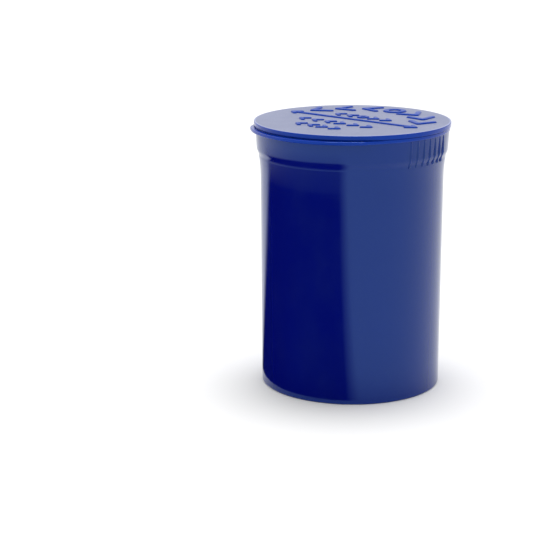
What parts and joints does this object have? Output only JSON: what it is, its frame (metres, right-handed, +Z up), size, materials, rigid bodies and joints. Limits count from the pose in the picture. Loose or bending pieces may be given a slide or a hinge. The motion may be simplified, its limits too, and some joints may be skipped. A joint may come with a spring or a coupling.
{
  "type": "prescription vial",
  "caption": "Round squeeze-top plastic vial with a hinged plug lid, side grip ribs and a curved pry lip under the lid's front edge.",
  "frame": {"origin": "on the vial's axis, on the plane that its foot ring stands on", "axes": "+Z up along the vial's axis, +Y towards the hinge, -Y towards the pry shield, +X and -X through the two grips"},
  "size_m": [0.0524, 0.0555, 0.072],
  "materials": {
    "gloss_blue": "glossy moulded polypropylene, cobalt blue",
    "satin_blue": "satin moulded polypropylene, deep blue",
    "frosted_blue": "frosted moulded polypropylene with a pale bloom",
    "mark_blue": "polished raised marks in the same blue"
  },
  "bodies": {
    "vial": {"side_wall": "gloss_blue", "base": "satin_blue", "collar": "gloss_blue", "mouth_bead": "gloss_blue", "left_grip_ribs": "gloss_blue", "right_grip_ribs": "gloss_blue", "pry_shield": "gloss_blue", "body_hinge_flange": "gloss_blue", "living_hinge": "gloss_blue"},
    "lid": {"lid_plate": "frosted_blue", "lid_seal_ring": "gloss_blue", "lid_hinge_flange": "gloss_blue", "lid_arrow": "mark_blue", "lid_marks": "mark_blue"}
  },
  "joints": [
    {"name": "lid_hinge", "type": "hinge", "parent": "vial", "child": "lid", "pos_m": [0, 0.02765, 0.0705], "axis": [-1, 0, 0], "range_deg": [0, 180], "deforming": ["living_hinge"]}
  ]
}
